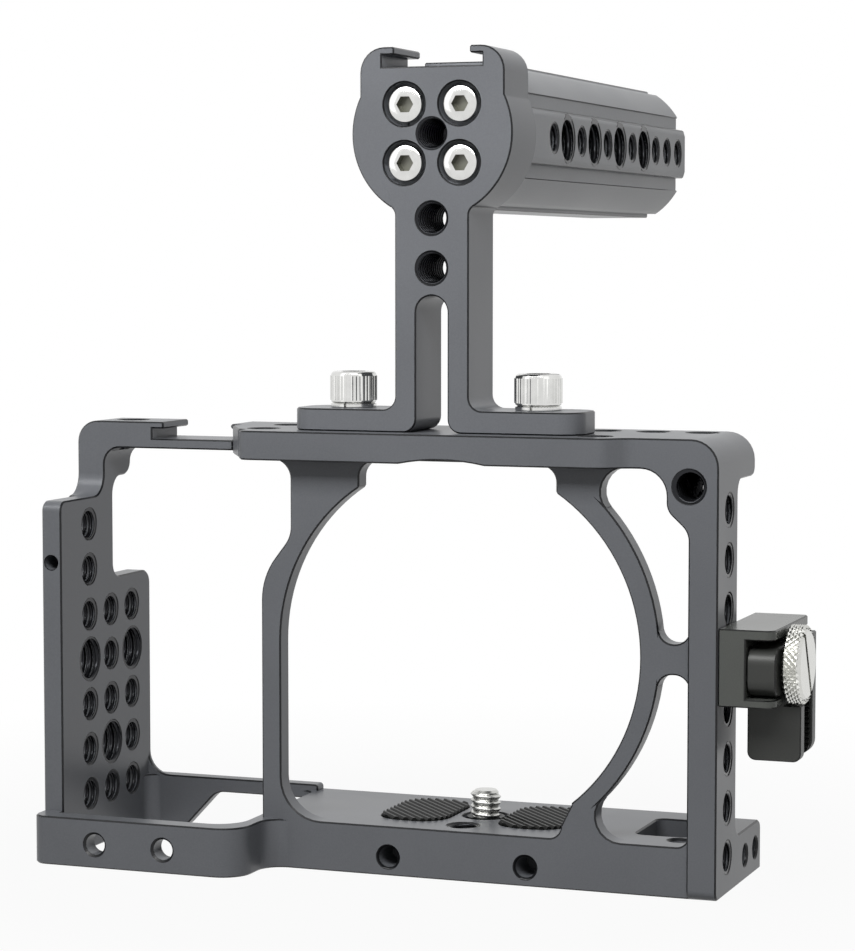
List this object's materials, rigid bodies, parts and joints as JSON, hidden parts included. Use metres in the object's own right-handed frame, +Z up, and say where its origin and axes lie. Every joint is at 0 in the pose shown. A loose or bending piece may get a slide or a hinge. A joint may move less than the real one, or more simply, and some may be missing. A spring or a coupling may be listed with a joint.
{
  "type": "camera cage",
  "caption": "Milled camera cage with a lens ring, side plates full of threaded holes, two accessory shoes, a tubular top handle, a captive camera screw and a knobbed cable clamp.",
  "frame": {"origin": "middle of the base plate's underside, midway between the side plates and midway through the base plate's depth", "axes": "+X to the right seen from the lens side, +Y from the lens side to the rear, +Z up"},
  "size_m": [0.1581, 0.1415, 0.1651],
  "materials": {
    "alloy": "bead-blasted and anodised dark grey, satin",
    "grip_alloy": "anodised grey, satin, slightly lighter than the frame",
    "clamp_alloy": "anodised olive black, satin",
    "bolt_steel": "polished stainless steel",
    "screw_steel": "plain bright steel",
    "knob_steel": "bright steel with a diamond knurl",
    "dark_steel": "blackened steel",
    "rubber": "matt black, ribbed"
  },
  "bodies": {
    "cage": {"base_plate": "alloy", "left_side_plate": "alloy", "top_plate": "alloy", "right_side_plate": "alloy", "front_pillar": "alloy", "lens_ring": "alloy", "rubber_pad_left": "rubber", "rubber_pad_right": "rubber", "handle_foot": "alloy", "handle_column": "alloy", "handle_head": "alloy", "handle_grip": "grip_alloy", "handle_bolts": "bolt_steel", "handle_washers": "bolt_steel", "grip_screws": "screw_steel", "clamp_bracket": "clamp_alloy", "clamp_rear_jaw": "clamp_alloy", "clamp_rear_pad": "rubber", "clamp_mount_screw": "dark_steel", "clamp_locating_pin": "screw_steel"},
    "camera_screw_carrier": {"camera_screw_clip": "dark_steel"},
    "camera_screw": {"camera_screw": "screw_steel"},
    "clamp_front_jaw": {"clamp_jaw": "clamp_alloy", "clamp_front_pad": "rubber"},
    "clamp_screw_carrier": {"clamp_washer": "dark_steel"},
    "clamp_knob": {"clamp_knob": "knob_steel", "clamp_screw": "screw_steel"}
  },
  "joints": [
    {"name": "camera_screw_lift", "type": "slide", "parent": "cage", "child": "camera_screw_carrier", "axis": [0, 0, 1], "range_m": [-0.00191, 0]},
    {"name": "camera_screw_turn", "type": "hinge", "parent": "camera_screw_carrier", "child": "camera_screw", "pos_m": [0.0169, 0.0005, 0.01], "axis": [0, 0, 1], "range_deg": [-541, 0]},
    {"name": "clamp_jaw_slide", "type": "slide", "parent": "cage", "child": "clamp_front_jaw", "axis": [0, 1, 0], "range_m": [-0.001, 0.0015]},
    {"name": "clamp_knob_withdraw", "type": "slide", "parent": "cage", "child": "clamp_screw_carrier", "axis": [1, 0, 0], "range_m": [0, 0.0014]},
    {"name": "clamp_knob_turn", "type": "hinge", "parent": "clamp_screw_carrier", "child": "clamp_knob", "pos_m": [0.082, -0.0085, 0.0456], "axis": [1, 0, 0], "range_deg": [0, 721]}
  ],
  "couplings": [
    {"joint": "camera_screw_turn", "follows": "camera_screw_lift", "rad_per_m": 4947.4},
    {"joint": "clamp_knob_turn", "follows": "clamp_knob_withdraw", "rad_per_m": 8976}
  ]
}
